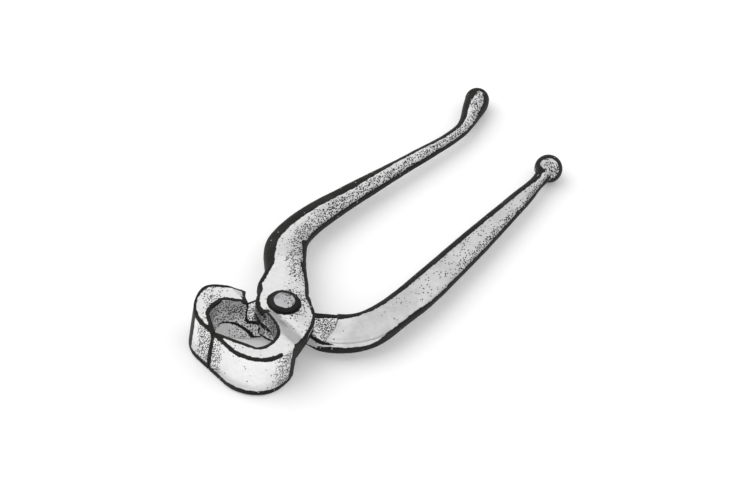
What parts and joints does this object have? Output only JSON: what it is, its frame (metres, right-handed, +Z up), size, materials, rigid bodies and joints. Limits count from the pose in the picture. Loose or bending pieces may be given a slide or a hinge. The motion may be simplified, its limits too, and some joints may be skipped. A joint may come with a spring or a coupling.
{
  "type": "blacksmith pincer tongs",
  "caption": "Forged pincer tongs: two crossed levers on a rivet, deep curved jaws that meet at a cutting edge, one rein with a bent bulb end and one with a ball end.",
  "frame": {"origin": "the middle of the closed tool's box, on the bench that it lies on", "axes": "+X along the reins, away from the jaws; +Y towards the side of the rein with the bulb end; +Z up from the bench. The pivot leans 1.4 degrees from +Z, because the tool lies on the heels of its jaws and on both rein ends."},
  "size_m": [0.3008, 0.106, 0.0303],
  "materials": {
    "forged_steel": "satin forged and ground steel, with dark scale in the hollows",
    "rivet_steel": "dull hammered steel"
  },
  "bodies": {
    "rear": {"rear_lever": "forged_steel", "rivet": "rivet_steel"},
    "front": {"front_lever": "forged_steel"}
  },
  "joints": [
    {"name": "pivot", "type": "hinge", "parent": "rear", "child": "front", "pos_m": [-0.09262, 0.00435, 0.01421], "axis": [0.0241, -0.004, 0.9997], "range_deg": [0, 25]}
  ]
}
